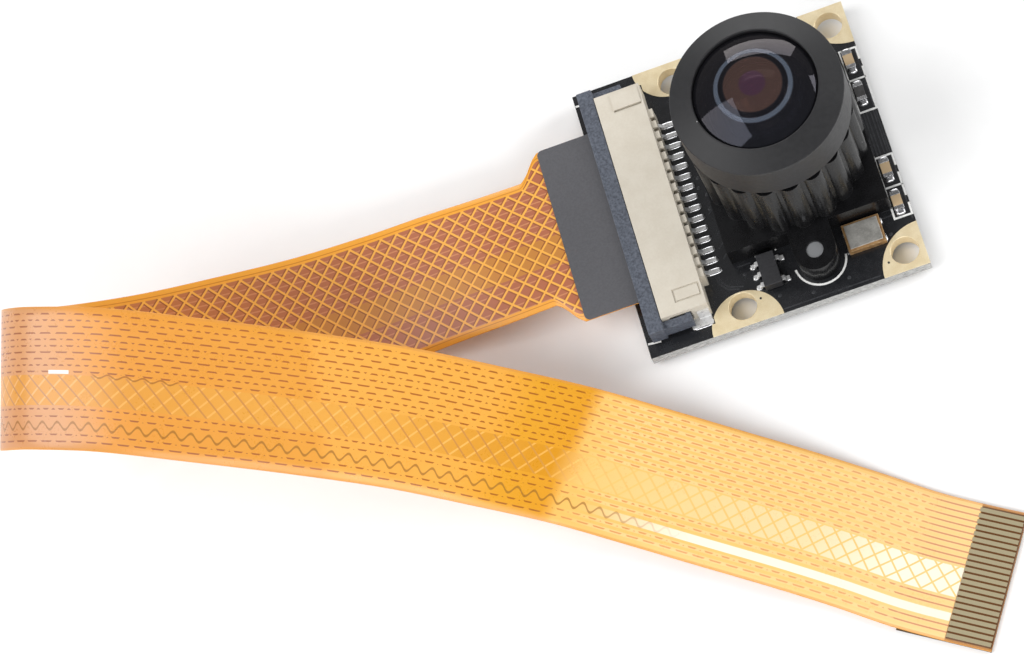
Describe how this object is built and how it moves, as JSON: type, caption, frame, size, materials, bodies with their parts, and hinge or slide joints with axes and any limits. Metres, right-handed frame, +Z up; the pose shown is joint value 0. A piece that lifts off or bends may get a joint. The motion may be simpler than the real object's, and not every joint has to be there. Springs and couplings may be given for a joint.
{
  "type": "camera module",
  "caption": "Square camera board with a wide-angle lens screwed into a fluted holder, a front-lock cable connector and a long, loosely looped amber flat cable.",
  "frame": {"origin": "on the floor under the middle of the circuit board, at the level of the holder screws' heads", "axes": "+X from the connector towards the lens, +Y along the connector, +Z up out of the lens"},
  "size_m": [0.0773, 0.057, 0.0202],
  "materials": {
    "solder_mask": "glossy black solder mask over glass-fibre laminate",
    "gold_plate": "flat pale gold plating",
    "holder_plastic": "glossy black moulded plastic",
    "screw_steel": "zinc-plated screw",
    "filter_glass": "thin pale blue-green filter glass",
    "sensor_silicon": "dark chip package",
    "window_glass": "clear cover glass",
    "anodised_black": "black anodised, satin",
    "coated_glass": "coated optical glass with a blue-green bloom",
    "ivory_plastic": "ivory moulded plastic",
    "slate_plastic": "slate grey glass-filled plastic",
    "tinned_metal": "bright tin plating",
    "tan_ceramic": "tan fired ceramic",
    "resistor_black": "black resistor coating",
    "crystal_ceramic": "dark ceramic with a gold rim",
    "crystal_lid_metal": "satin metal lid",
    "package_black": "black moulded package",
    "amber_film": "amber film over copper tracks, slightly see-through",
    "grey_stiffener": "matte dark grey stiffener",
    "contact_gold": "pale gold plated contacts",
    "brown_stiffener": "dark brown stiffener film"
  },
  "bodies": {
    "board": {"circuit_board": "solder_mask", "corner_lands": "gold_plate", "lens_holder": "holder_plastic", "holder_screws": "screw_steel", "ir_filter": "filter_glass", "image_sensor": "sensor_silicon", "sensor_window": "window_glass", "connector_housing": "ivory_plastic", "connector_contacts": "tinned_metal", "connector_tabs": "tinned_metal", "ceramic_capacitors": "tan_ceramic", "chip_resistor": "resistor_black", "chip_ends": "tinned_metal", "crystal_base": "crystal_ceramic", "crystal_lid": "crystal_lid_metal", "regulator_body": "package_black", "regulator_leads": "tinned_metal", "flex_cable": "amber_film", "plug_stiffener": "grey_stiffener", "plug_pads": "contact_gold", "free_stiffener": "brown_stiffener", "free_pads": "contact_gold"},
    "glass": {"front_lens": "coated_glass", "middle_lens": "coated_glass", "rear_lens": "coated_glass"},
    "barrel": {"lens_barrel": "anodised_black", "front_ring": "anodised_black", "spacer_ring": "anodised_black", "aperture_stop": "anodised_black", "rear_retainer": "anodised_black"},
    "slider": {"connector_slider": "slate_plastic"}
  },
  "joints": [
    {"name": "slider_pull", "type": "slide", "parent": "board", "child": "slider", "axis": [-1, 0, 0], "range_m": [0, 0.0012]},
    {"name": "lens_lift", "type": "slide", "parent": "board", "child": "glass", "axis": [0, 0, 1], "range_m": [-0.00025, 0.001]},
    {"name": "barrel_turn", "type": "hinge", "parent": "glass", "child": "barrel", "pos_m": [0.00355, 0, 0.008], "axis": [0, 0, 1], "range_deg": [-182, 724]}
  ],
  "couplings": [
    {"joint": "barrel_turn", "follows": "lens_lift", "rad_per_m": 12566}
  ]
}
